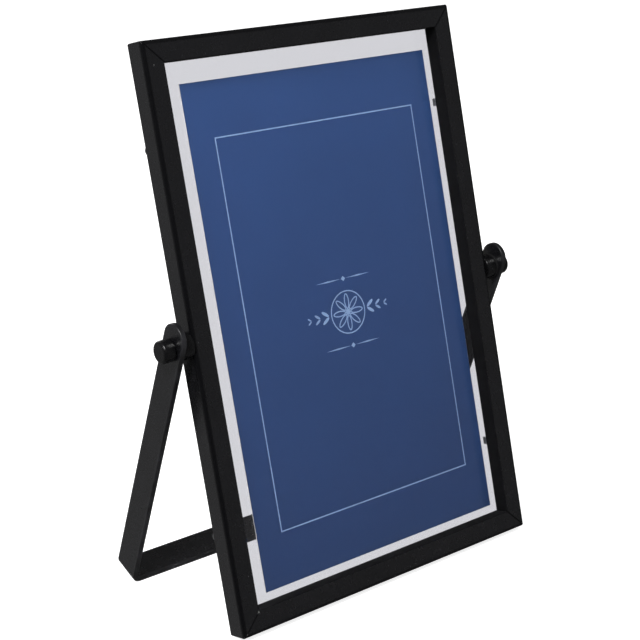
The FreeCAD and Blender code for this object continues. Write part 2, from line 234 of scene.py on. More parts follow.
@dataclass(frozen=True)
class OwnAxes:
    """The axes of a piece that was made upright and then leans.

    X runs right, Y towards the back and Z up along the piece. Origin is in metres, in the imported
    model, and lean is in radians towards the back.
    """

    origin: Vector
    lean: float

    @classmethod
    def of_frame(cls, nodes: Nodes) -> "OwnAxes":
        """Read the lean from the front pane's face, and the origin from the lower rail.

        Args:
            nodes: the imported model's objects by name.

        Returns:
            Axes from the frame's middle, its front face and its lower edge.
        """
        forward = [face for face in nodes["front_glass"].data.polygons if face.normal.y < 0]
        front = max(forward, key=lambda face: face.area)
        lean = math.atan2(front.normal.z, -front.normal.y)
        back = Vector((0, math.cos(lean), -math.sin(lean)))
        up = Vector((0, math.sin(lean), math.cos(lean)))
        points = [vertex.co for vertex in nodes["bottom_rail"].data.vertices]
        origin = back * min(back.dot(p) for p in points) + up * min(up.dot(p) for p in points)
        return cls(origin, lean)

    @classmethod
    def of_stand(cls, nodes: Nodes, pivot: Vector) -> "OwnAxes":
        """Read the lean from the crossbar's broad face.

        Args:
            nodes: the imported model's objects by name.
            pivot: a point of the stand's pivot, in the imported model.

        Returns:
            Axes from the stand's pivot, with Z up along its legs.
        """
        faces = nodes["easel_stand"].data.polygons
        level = [face for face in faces if abs(face.normal.x) < 1 - FACING]
        broad = max(level, key=lambda face: face.area).normal
        return cls(Vector((0, pivot.y, pivot.z)), math.atan(broad.y / broad.z))

    def matrix(self) -> Matrix:
        """Return the matrix that takes upright points, in metres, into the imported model."""
        return Matrix.Translation(self.origin) @ Matrix.Rotation(-self.lean, 4, "X")

    def box(self, *nodes: Piece) -> tuple[Vector, Vector]:
        """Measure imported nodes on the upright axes.

        Args:
            nodes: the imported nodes.

        Returns:
            Their lowest and their highest corner.
        """
        turned = self.matrix().inverted()
        points = [turned @ vertex.co / MM for node in nodes for vertex in node.data.vertices]
        return Vector(map(min, zip(*points))), Vector(map(max, zip(*points)))

    def settle(self, piece: Piece) -> None:
        """Lean a piece that was modelled upright, and leave its place in its mesh.

        Args:
            piece: the piece.
        """
        pick(piece)
        piece.matrix_world = self.matrix() @ piece.matrix_world
        bpy.ops.object.transform_apply(location=True, rotation=True, scale=True)

    def coordinates(self, tree: bpy.types.NodeTree) -> Socket:
        """Turn Object coordinates back to the upright axes.

        Args:
            tree: a material's node tree.

        Returns:
            The turned coordinates, in metres.
        """
        place = add_node(tree, "ShaderNodeTexCoord").outputs["Object"]
        turned = add_node(
            tree,
            "ShaderNodeMapping",
            {"Vector": place, "Location": self.origin, "Rotation": (-self.lean, 0, 0)},
            vector_type="TEXTURE",
        )
        return turned.outputs["Vector"]


# Patterns that the finishes share

@dataclass
class Sums:
    """Sums and blends in one node tree: each method adds nodes and returns an output socket."""

    tree: bpy.types.NodeTree

    def maths(self, operation: str, *values: Socket | float) -> Socket:
        """Return the result of one arithmetic operation on values or sockets."""
        made = add_node(self.tree, "ShaderNodeMath", dict(enumerate(values)), operation=operation)
        return made.outputs["Value"]

    def spread(
        self,
        value: Socket,
        low: float,
        high: float,
        start: float = NOISE_LOW,
        stop: float = NOISE_HIGH,
    ) -> Socket:
        """Spread a value from one range to another, and hold it inside that.

        Args:
            value: the value.
            low: what the start of its range becomes.
            high: what the end of its range becomes.
            start: where its range starts.
            stop: where its range ends.

        Returns:
            The value in the new range.
        """
        made = add_node(
            self.tree,
            "ShaderNodeMapRange",
            {"Value": value, "From Min": start, "From Max": stop, "To Min": low, "To Max": high},
        )
        return made.outputs["Result"]

    def blend(self, share: Socket, first: Socket | str, second: Socket | str) -> Socket:
        """Blend two colours.

        Args:
            share: the second colour's share, from 0 to 1.
            first: a hex colour or a socket.
            second: a hex colour or a socket.

        Returns:
            The colour between them.
        """
        first, second = (linear(c) if isinstance(c, str) else c for c in (first, second))
        # A Mix node has its two colours at inputs 6 and 7, and the blended one at output 2
        made = add_node(
            self.tree, "ShaderNodeMix", {"Factor": share, 6: first, 7: second}, data_type="RGBA"
        )
        return made.outputs[2]

    def mixed(self, share: Socket | float, first: Socket, second: Socket) -> Socket:
        """Return a shader between two shaders, by a share from 0 to 1."""
        made = add_node(self.tree, "ShaderNodeMixShader", {0: share, 1: first, 2: second})
        return made.outputs["Shader"]


@dataclass
class Patterns(Sums):
    """Patterns of one material, at their place on a piece's upright axes.

    Each has its real size where that shows. One too fine to show is drawn coarser, and a comment
    at its pitch says so.
    """

    place: Socket

    @classmethod
    def over(cls, tree: bpy.types.NodeTree, space: OwnAxes) -> "Patterns":
        """Return patterns that follow a piece's upright axes."""
        return cls(tree, space.coordinates(tree))

    def noise(
        self,
        pitch: float,
        layers: Layers = Layers.PLAIN,
        stretch: tuple[float, float, float] = (1, 1, 1),
    ) -> Socket:
        """Return noise from 0 to 1.

        Args:
            pitch: the size of its patches.
            layers: how many layers it has, each finer than the one before.
            stretch: how many times finer it is along each axis.

        Returns:
            The noise's value.
        """
        scaled = add_node(self.tree, "ShaderNodeMapping", {"Vector": self.place, "Scale": stretch})
        made = add_node(
            self.tree,
            "ShaderNodeTexNoise",
            {"Vector": scaled.outputs["Vector"], "Scale": 1 / (pitch * MM), "Detail": layers},
        )
        return made.outputs["Fac"]

    def bump(self, height: Socket, depth: float, below: Socket | None = None) -> Socket:
        """Return the normal of a relief.

        Args:
            height: its pattern from 0 to 1.
            depth: how deep it is.
            below: the normal of a coarser relief that it lies on.

        Returns:
            The normal.
        """
        made = add_node(self.tree, "ShaderNodeBump", {"Height": height, "Distance": depth * MM})
        if below is not None:
            self.tree.links.new(below, made.inputs["Normal"])
        return made.outputs["Normal"]

    def split(self) -> list[Socket]:
        """Return the place's X, Y and Z."""
        return list(add_node(self.tree, "ShaderNodeSeparateXYZ", {"Vector": self.place}).outputs)

    def spot(self, middle: Vector, radius: float, ragged: float = 0.6) -> Socket:
        """Return 1 in a small ragged spot about a point and 0 outside it.

        Args:
            middle: the spot's middle on the upright axes.
            radius: its rough radius.
            ragged: how far its rim wanders, as a share of the radius.

        Returns:
            The spot's mask.
        """
        away = add_node(
            self.tree, "ShaderNodeVectorMath", {0: self.place, 1: middle * MM}, operation="DISTANCE"
        )
        least, most = radius * (1 - ragged) * MM, radius * (1 + ragged) * MM
        reach = self.spread(self.noise(radius), least, most)
        return self.maths("LESS_THAN", away.outputs["Value"], reach)


# Finishes

@dataclass(frozen=True)
class Finish:
    """What every finish has: a name, the axes that it follows, and a material made once."""

    name: str
    space: OwnAxes

    def material(self) -> bpy.types.Material:
        """Make the finish's material on the first call, and find it on later ones.

        Returns:
            The material.
        """
        made = bpy.data.materials.get(self.name)
        if made is None:
            made = bpy.data.materials.new(self.name)
            made.use_nodes = True
            made.node_tree.nodes.clear()
            output = add_node(made.node_tree, "ShaderNodeOutputMaterial")
            shader = self.shader(Patterns.over(made.node_tree, self.space))
            made.node_tree.links.new(shader, output.inputs["Surface"])
        return made

    def shader(self, patterns: Patterns) -> Socket:
        """Return the finish's shader, which each finish builds in its own way."""
        raise NotImplementedError

    def principled(self, patterns: Patterns, **sockets: object) -> Socket:
        """Return a Principled shader, its sockets named with underscores for spaces."""
        inputs = {name.replace("_", " "): value for name, value in sockets.items()}
        return add_node(patterns.tree, "ShaderNodeBsdfPrincipled", inputs).outputs["BSDF"]

    def dress(self, *pieces: Piece) -> None:
        """Give pieces this finish all over.

        Args:
            pieces: the pieces.
        """
        for piece in pieces:
            piece.data.materials.clear()
            piece.data.materials.append(self.material())


@dataclass(frozen=True)
class SatinPowderCoat(Finish):
    """Black powder coat baked on steel: a satin skin whose fine orange peel breaks up its shine.

    Where hands and table tops rub the edges, the skin is scuffed and a little greyer.
    """

    reach: Vector
    dark: str = "#0e0e10"
    light: str = "#17171a"
    rubbed: str = "#26262a"
    shine: float = 0.8
    smooth: float = 0.22
    rough: float = 0.3
    scuff: float = 0.1
    tone_pitch: float = 14.0
    gloss_pitch: float = 3.0
    peel_pitch: float = 0.8
    peel_depth: float = 0.01
    grain_pitch: float = 0.18  # drawn coarser than the powder's own 0.05, which can't show
    grain_depth: float = 0.0015
    edge_band: float = 1.2
    rub_pitch: float = 7.0
    rub_start: float = 0.42
    rub_stop: float = 0.6

    def from_edge(self, patterns: Patterns) -> Socket:
        """Return the distance from the nearest edge that gets rubbed, in metres."""
        raise NotImplementedError

    def skin(self, patterns: Patterns) -> Socket:
        """Build the coat where it is whole.

        Args:
            patterns: the material's patterns.

        Returns:
            A dark satin shader with mottled tone, orange peel and rubbed edges.
        """
        near = patterns.spread(self.from_edge(patterns), 1.0, 0.0, 0.0, self.edge_band * MM)
        rub = patterns.noise(self.rub_pitch, Layers.GRAINY)
        worn = patterns.maths(
            "MULTIPLY", near, patterns.spread(rub, 0, 1, self.rub_start, self.rub_stop)
        )
        clouds = patterns.noise(self.tone_pitch, Layers.CLOUDY)
        tone = patterns.blend(clouds, self.dark, self.light)
        gloss = patterns.noise(self.gloss_pitch, Layers.CLOUDY)
        gloss = patterns.spread(gloss, self.smooth, self.rough)
        return self.principled(
            patterns,
            Base_Color=patterns.blend(worn, tone, self.rubbed),
            Roughness=patterns.maths("ADD", gloss, patterns.maths("MULTIPLY", near, self.scuff)),
            Specular_IOR_Level=self.shine,
            Normal=self.relief(patterns),
        )

    def relief(self, patterns: Patterns) -> Socket:
        """Lay the powder's fine grain on the orange peel.

        Args:
            patterns: the material's patterns.

        Returns:
            The normal of both.
        """
        grain = patterns.noise(self.grain_pitch, Layers.GRAINY)
        peel = patterns.bump(patterns.noise(self.peel_pitch), self.peel_depth)
        return patterns.bump(grain, self.grain_depth, peel)


@dataclass(frozen=True)
class RailCoat(SatinPowderCoat):
    """The coat on the rails: rubbed on their outer front edges, with bare steel in two chips.

    On the outer front bend the skin is smoother and blacker, and its black is painted shade: the
    dark band that a round edge shows. In the recess and along the mitres the skin is dull and
    blacker, and there its black is painted shade in the hollows. Reach is the frame's half width,
    its depth and its height, and face is the width of the rails' front faces, behind which the
    walls of the recess begin. The bend's shade is whole up to its core and the seams' up to
    theirs, and both end at their rims. A chip is its distance from the left side, its distance
    from the lower or the upper end, and its radius.
    """

    # painted shade: the blacker colour that the bend, the recess and the mitres get
    drawn: str = "#0c0c0e"
    steel: str = "#b4b5b6"
    bend_shine: float = 0.35
    bend_roughness: float = 0.2
    dull_shine: float = 0.1
    dull_roughness: float = 0.75
    steel_roughness: float = 0.4
    face: float = 7.0
    face_slack: float = 0.1
    bend_core: float = 1.1
    bend_rim: float = 1.5
    seam_core: float = 0.2
    seam_rim: float = 0.6
    lower_chip: tuple[float, float, float] = (7.0, 7.1, 0.35)
    upper_chip: tuple[float, float, float] = (3.3, 7.7, 0.3)

    def inwards(self, patterns: Patterns) -> tuple[Socket, Socket]:
        """Measure how far inside the frame's outline a point lies.

        Args:
            patterns: the material's patterns.

        Returns:
            The distances from the nearest side and from the nearest end, in metres.
        """
        across, _, up = patterns.split()
        half_height = self.reach.z / 2 * MM
        side = patterns.maths("SUBTRACT", self.reach.x * MM, patterns.maths("ABSOLUTE", across))
        from_middle = patterns.maths("ABSOLUTE", patterns.maths("SUBTRACT", up, half_height))
        return side, patterns.maths("SUBTRACT", half_height, from_middle)

    def from_edge(self, patterns: Patterns) -> Socket:
        """Return the distance from the outer front edge: inwards and backwards together."""
        depth = patterns.maths("ABSOLUTE", patterns.split()[1])
        return patterns.maths("ADD", patterns.maths("MINIMUM", *self.inwards(patterns)), depth)

    def dull_and_shaded(self, patterns: Patterns) -> Socket:
        """Find the recess's walls and the mitres, where the skin is dull and shade is painted.

        Args:
            patterns: the material's patterns.

        Returns:
            1 where the skin is dull and blacker with painted shade, and 0 elsewhere.
        """
        inwards = self.inwards(patterns)
        inner = (self.face - self.face_slack) * MM
        recess = patterns.maths("GREATER_THAN", patterns.maths("MINIMUM", *inwards), inner)
        off_mitre = patterns.maths("ABSOLUTE", patterns.maths("SUBTRACT", *inwards))
        seam = patterns.spread(off_mitre, 1.0, 0.0, self.seam_core * MM, self.seam_rim * MM)
        return patterns.maths("MAXIMUM", recess, seam)

    def painted_bend_shade(self, patterns: Patterns) -> Socket:
        """Return 1 on the outer front bend, with a soft border, and 0 elsewhere."""
        # the band marked here is made blacker with painted shade
        start, stop = self.bend_core * MM, self.bend_rim * MM
        return patterns.spread(self.from_edge(patterns), 1.0, 0.0, start, stop)

    def chips(self) -> list[tuple[Vector, float]]:
        """Place the chips in the left rail's front face.

        Returns:
            The middle and the radius of each.
        """
        lower, upper = self.lower_chip, self.upper_chip
        return [
            (Vector((lower[0] - self.reach.x, 0, lower[1])), lower[2]),
            (Vector((upper[0] - self.reach.x, 0, self.reach.z - upper[1])), upper[2]),
        ]

    def shader(self, patterns: Patterns) -> Socket:
        """Return the satin skin, dull and with painted shade in the recess and the mitres, with a
        band of painted shade on the bend, and chipped in two spots.

        Args:
            patterns: the material's patterns.

        Returns:
            The shader's output socket.
        """
        clouds = patterns.noise(self.tone_pitch, Layers.CLOUDY)
        # the recess and the mitres: a dull skin, blacker with painted shade
        dull_shaded_skin = self.principled(
            patterns,
            Base_Color=patterns.blend(clouds, self.drawn, self.dark),
            Roughness=self.dull_roughness,
            Specular_IOR_Level=self.dull_shine,
            Normal=self.relief(patterns),
        )
        # the outer front bend: a smooth skin, blacker with painted shade, the dark band of a round
        # edge
        dark_bend_skin = self.principled(
            patterns,
            Base_Color=linear(self.drawn),
            Roughness=self.bend_roughness,
            Specular_IOR_Level=self.bend_shine,
            Normal=self.relief(patterns),
        )
        skin = patterns.mixed(self.dull_and_shaded(patterns), self.skin(patterns), dull_shaded_skin)
        skin = patterns.mixed(self.painted_bend_shade(patterns), skin, dark_bend_skin)
        steel = self.principled(
            patterns,
            Base_Color=linear(self.steel),
            Metallic=1.0,
            Roughness=self.steel_roughness,
        )
        for middle, radius in self.chips():
            skin = patterns.mixed(patterns.spot(middle, radius), skin, steel)
        return skin


@dataclass(frozen=True)
class StandCoat(SatinPowderCoat):
    """The coat on the stand: rubbed along both edges of its strip.

    Reach is the stand's half width, the strip's half width and its height above the pivot.
    """

    def from_edge(self, patterns: Patterns) -> Socket:
        """Measure the distance from the strip's edges and round ends.

        Args:
            patterns: the material's patterns.

        Returns:
            The distance, in metres.
        """
        _, over, along = patterns.split()
        beyond = patterns.maths("SUBTRACT", along, (self.reach.z - self.reach.y) * MM)
        rise = patterns.maths("MAXIMUM", beyond, 0.0)
        over = patterns.maths("POWER", patterns.maths("ABSOLUTE", over), 2.0)
        squares = patterns.maths("ADD", over, patterns.maths("POWER", rise, 2.0))
        out = patterns.maths("SQRT", squares)
        return patterns.maths("SUBTRACT", self.reach.y * MM, out)

    def shader(self, patterns: Patterns) -> Socket:
        """Return the satin skin, which covers the whole strip."""
        return self.skin(patterns)


@dataclass(frozen=True)
class TurnedCoat(Finish):
    """The same coat on turned parts: thinner and smoother, with faint rings from the lathe."""

    pivot: Vector
    dark: str = "#0a0a0b"
    light: str = "#111113"
    shine: float = 0.45
    smooth: float = 0.2
    rough: float = 0.32
    tone_pitch: float = 3.0
    gloss_pitch: float = 1.2
    peel_pitch: float = 0.6
    peel_depth: float = 0.006
    ring_pitch: float = 0.5  # drawn coarser than the lathe's own 0.1, which can't show
    ring_depth: float = 0.004
    ring_wander: float = 0.4

    def shader(self, patterns: Patterns) -> Socket:
        """Return a dark skin with rings about the pivot.

        Args:
            patterns: the material's patterns.

        Returns:
            The shader's output socket.
        """
        centred = add_node(
            patterns.tree,
            "ShaderNodeVectorMath",
            {0: patterns.place, 1: self.pivot * MM},
            operation="SUBTRACT",
        )
        rings = add_node(
            patterns.tree,
            "ShaderNodeTexWave",
            {
                "Vector": centred.outputs["Vector"],
                "Scale": math.tau / (WAVE_RATE * self.ring_pitch * MM),
                "Distortion": self.ring_wander,
            },
            wave_type="RINGS",
            rings_direction="X",
        )
        turned = patterns.bump(rings.outputs["Fac"], self.ring_depth)
        gloss = patterns.noise(self.gloss_pitch, Layers.CLOUDY)
        return self.principled(
            patterns,
            Base_Color=patterns.blend(patterns.noise(self.tone_pitch), self.dark, self.light),
            Roughness=patterns.spread(gloss, self.smooth, self.rough),
            Specular_IOR_Level=self.shine,
            Normal=patterns.bump(patterns.noise(self.peel_pitch), self.peel_depth, turned),
        )


@dataclass(frozen=True)
class FloatGlass(Finish):
    """Thin clear float glass: sharp reflections, a faint cool body, and a trace of wiping."""

    body: str = "#f7f7fa"
    wiped_roughness: float = 0.012
    wipe_pitch: float = 30.0
    wipe_stretch: tuple[float, float, float] = (1, 1, 3)
    wipe_start: float = 0.5
    wipe_stop: float = 0.75

    def shader(self, patterns: Patterns) -> Socket:
        """Return clear glass that lets lamps through to the card behind it.

        Args:
            patterns: the material's patterns.

        Returns:
            The shader's output socket.
        """
        wiped = patterns.noise(self.wipe_pitch, Layers.CLOUDY, self.wipe_stretch)
        glass = self.principled(
            patterns,
            Base_Color=linear(self.body),
            Roughness=patterns.spread(
                wiped, 0.0, self.wiped_roughness, self.wipe_start, self.wipe_stop
            ),
            IOR=GLASS_IOR,
            Transmission_Weight=1.0,
        )
        clear = add_node(patterns.tree, "ShaderNodeBsdfTransparent", {"Color": linear(self.body)})
        lamps = add_node(patterns.tree, "ShaderNodeLightPath").outputs["Is Shadow Ray"]
        return patterns.mixed(lamps, glass, clear.outputs["BSDF"])


@dataclass(frozen=True)
class GroundGlassEdge(Finish):
    """The panes' ground edges: frosted, and greener because light runs along the sheet."""

    dark: str = "#8fa89d"
    light: str = "#b3c6bc"
    roughness: float = 0.55
    clearness: float = 0.6
    tone_pitch: float = 1.5
    grain_pitch: float = 0.25  # drawn coarser than the grit's own 0.1, which can't show
    grain_depth: float = 0.01

    def shader(self, patterns: Patterns) -> Socket:
        """Return frosted glass with a fine ground grain.

        Args:
            patterns: the material's patterns.

        Returns:
            The shader's output socket.
        """
        return self.principled(
            patterns,
            Base_Color=patterns.blend(patterns.noise(self.tone_pitch), self.dark, self.light),
            Roughness=self.roughness,
            IOR=GLASS_IOR,
            Transmission_Weight=self.clearness,
            Normal=patterns.bump(patterns.noise(self.grain_pitch), self.grain_depth),
        )


@dataclass(frozen=True)
class PrintedBlue(Finish):
    """Offset print on coated card: an even dark blue with the slight sheen of its clay coat.

    The blue grows from the deep one at the card's foot to the pale one at its head, at height.
    """

    height: float
    deep: str = "#283f68"
    pale: str = "#2e4b7b"
    speck: str = "#34507f"
    foot_share: float = -0.1
    head_share: float = 0.9
    cloud_pitch: float = 28.0
    cloud_share: float = 0.1
    speck_pitch: float = 0.35  # drawn coarser than the print's dots, 0.15, which can't show
    speck_share: float = 0.2
    shine: float = 0.3
    smooth: float = 0.42
    rough: float = 0.52
    gloss_pitch: float = 5.0
    grain_pitch: float = 0.3  # drawn coarser than the card's own 0.05, which can't show
    grain_depth: float = 0.004

    def shader(self, patterns: Patterns) -> Socket:
        """Return dark blue ink, paler towards the top, with clouds and paper-fine grain.

        Args:
            patterns: the material's patterns.

        Returns:
            The shader's output socket.
        """
        up = patterns.split()[2]
        rise = patterns.spread(up, self.foot_share, self.head_share, 0.0, self.height * MM)
        clouds = patterns.noise(self.cloud_pitch, Layers.CLOUDY)
        share = patterns.maths(
            "ADD", rise, patterns.spread(clouds, -self.cloud_share, self.cloud_share)
        )
        specks = patterns.noise(self.speck_pitch, Layers.CLOUDY)
        specks = patterns.spread(specks, 0, self.speck_share)
        grain = patterns.noise(self.grain_pitch, Layers.CLOUDY)
        graded = patterns.blend(share, self.deep, self.pale)
        return self.principled(
            patterns,
            Base_Color=patterns.blend(specks, graded, self.speck),
            Roughness=patterns.spread(patterns.noise(self.gloss_pitch), self.smooth, self.rough),
            Specular_IOR_Level=self.shine,
            Normal=patterns.bump(grain, self.grain_depth),
        )


@dataclass(frozen=True)
class PaleInk(Finish):
    """Pale blue ink of the fine lines, a little uneven where it soaked into the card."""

    dark: str = "#7794bb"
    light: str = "#9bb6d6"
    shine: float = 0.3
    roughness: float = 0.5
    tone_pitch: float = 1.6
    grain_pitch: float = 0.3  # drawn coarser than the card's own 0.05, which can't show
    grain_depth: float = 0.004

    def shader(self, patterns: Patterns) -> Socket:
        """Return pale ink that varies along its lines.

        Args:
            patterns: the material's patterns.

        Returns:
            The shader's output socket.
        """
        soaked = patterns.noise(self.tone_pitch, Layers.CLOUDY)
        return self.principled(
            patterns,
            Base_Color=patterns.blend(soaked, self.dark, self.light),
            Roughness=self.roughness,
            Specular_IOR_Level=self.shine,
            Normal=patterns.bump(patterns.noise(self.grain_pitch), self.grain_depth),
        )


@dataclass(frozen=True)
class CardStock(Finish):
    """Uncoated back and cut edges of the card: off-white, with loose fibres that scatter light."""

    dark: str = "#d8d5cc"
    light: str = "#e9e7e0"
    roughness: float = 0.9
    fibre_pitch: float = 0.7  # drawn coarser than real fibres, 0.03, which can't show
    fibre_depth: float = 0.02
    fibre_stretch: tuple[float, float, float] = (1, 1, 2.5)

    def shader(self, patterns: Patterns) -> Socket:
        """Return off-white paper with fibre-sized bumps.

        Args:
            patterns: the material's patterns.

        Returns:
            The shader's output socket.
        """
        fibres = patterns.noise(self.fibre_pitch, Layers.FIBROUS, self.fibre_stretch)
        return self.principled(
            patterns,
            Base_Color=patterns.blend(fibres, self.dark, self.light),
            Roughness=self.roughness,
            Normal=patterns.bump(fibres, self.fibre_depth),
        )


@dataclass(frozen=True)
class ZincPlate(Finish):
    """Zinc-plated steel: a grey metal with rolled streaks and soft cloudy patches."""

    dark: str = "#a3a5a8"
    light: str = "#c6c8ca"
    smooth: float = 0.26
    rough: float = 0.42
    cloud_pitch: float = 1.4
    streak_pitch: float = 0.5
    streak_depth: float = 0.006
    streak_stretch: tuple[float, float, float] = (6, 1, 1)

    def shader(self, patterns: Patterns) -> Socket:
        """Return a metal whose roughness and tone vary in clouds and streaks.

        Args:
            patterns: the material's patterns.

        Returns:
            The shader's output socket.
        """
        clouds = patterns.noise(self.cloud_pitch, Layers.CLOUDY)
        streaks = patterns.noise(self.streak_pitch, Layers.GRAINY, self.streak_stretch)
        return self.principled(
            patterns,
            Base_Color=patterns.blend(clouds, self.dark, self.light),
            Metallic=1.0,
            Roughness=patterns.spread(clouds, self.smooth, self.rough),
            Normal=patterns.bump(streaks, self.streak_depth),
        )


@dataclass(frozen=True)
class TurnedBrass(Finish):
    """Turned brass: warm metal, a little browned, with fine tool rings along its axis."""

    dark: str = "#b08a48"
    light: str = "#cfa95f"
    smooth: float = 0.25
    rough: float = 0.38
    tone_pitch: float = 1.0
    ring_pitch: float = 1.5  # with its stretch 0.25, coarser than the lathe's own 0.1
    ring_depth: float = 0.01
    ring_stretch: tuple[float, float, float] = (6, 0.1, 0.1)

    def shader(self, patterns: Patterns) -> Socket:
        """Return brass with fine rings across X.

        Args:
            patterns: the material's patterns.

        Returns:
            The shader's output socket.
        """
        rings = patterns.noise(self.ring_pitch, Layers.PLAIN, self.ring_stretch)
        return self.principled(
            patterns,
            Base_Color=patterns.blend(patterns.noise(self.tone_pitch), self.dark, self.light),
            Metallic=1.0,
            Roughness=patterns.spread(rings, self.smooth, self.rough),
            Normal=patterns.bump(rings, self.ring_depth),
        )


@dataclass(frozen=True)
class MouldedNylon(Finish):
    """Black moulded nylon: dull, with the fine spark grain of its mould."""

    dark: str = "#141415"
    light: str = "#1d1d1f"
    smooth: float = 0.48
    rough: float = 0.6
    tone_pitch: float = 4.0
    gloss_pitch: float = 1.5
    grain_pitch: float = 0.35  # drawn coarser than the mould's own 0.1, which can't show
    grain_depth: float = 0.015

    def shader(self, patterns: Patterns) -> Socket:
        """Return dull black plastic with a mould-textured skin.

        Args:
            patterns: the material's patterns.

        Returns:
            The shader's output socket.
        """
        return self.principled(
            patterns,
            Base_Color=patterns.blend(patterns.noise(self.tone_pitch), self.dark, self.light),
            Roughness=patterns.spread(patterns.noise(self.gloss_pitch), self.smooth, self.rough),
            Normal=patterns.bump(patterns.noise(self.grain_pitch), self.grain_depth),
        )


# Glazing

def slab(name: str, low: Vector, high: Vector, rim: float, steps: int) -> Piece:
    """Model an upright sheet between two corners, with the rims of its two big faces eased.

    Args:
        name: the sheet's name.
        low: its lowest corner.
        high: its highest corner.
        rim: how far its rims are ground back.
        steps: 1 for a flat arris, and more for a round one.

    Returns:
        The sheet.
    """
    bpy.ops.object.select_all(action="DESELECT")
    bpy.ops.mesh.primitive_cube_add(size=1, location=(low + high) / 2 * MM)
    sheet = bpy.context.active_object
    sheet.name = name
    sheet.scale = (high - low) * MM
    bpy.ops.object.transform_apply(location=True, rotation=True, scale=True)
    with editing(sheet):
        select_faces(sheet, faces_front_or_back)
        bpy.ops.mesh.region_to_loop()
        bpy.ops.mesh.bevel(offset=rim * MM, segments=steps, affect="EDGES")
    return sheet


def finish_faces(piece: Piece, all_over: Finish, special: Finish, wanted: Wanted) -> None:
    """Give a piece one finish all over and another on some of its faces.

    Args:
        piece: the piece.
        all_over: the first finish.
        special: the second finish.
        wanted: says of a face whether it gets the second finish.
    """
    all_over.dress(piece)
    piece.data.materials.append(special.material())
    with editing(piece):
        select_faces(piece, wanted)
        piece.active_material_index = 1
        bpy.ops.object.material_slot_assign()


@dataclass
class Panes:
    """The front and the back pane, each a sheet of float glass with ground edges."""

    arris: float = 0.2
    arris_steps: int = 1

    def make(self, nodes: Nodes, space: OwnAxes, glass: Finish, edge: Finish) -> list[Piece]:
        """Model one pane, and copy it to the place of both packed ones.

        Args:
            nodes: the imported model's objects by name.
            space: the frame's upright axes.
            glass: the finish of the big faces.
            edge: the finish of the ground edges.

        Returns:
            The front and the back pane.
        """
        boxes = {node: space.box(nodes[node]) for node in ("front_glass", "back_glass")}
        low, high = boxes["front_glass"]
        first = slab("pane", low, high, self.arris, self.arris_steps)
        finish_faces(first, edge, glass, faces_front_or_back)
        made = []
        for node, box in boxes.items():
            pane = copy_of(first, node + "_pane", Matrix.Translation((box[0] - low) * MM))
            space.settle(pane)
            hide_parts(node)
            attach(pane, "frame")
            made.append(pane)
        bpy.data.objects.remove(first)
        return made


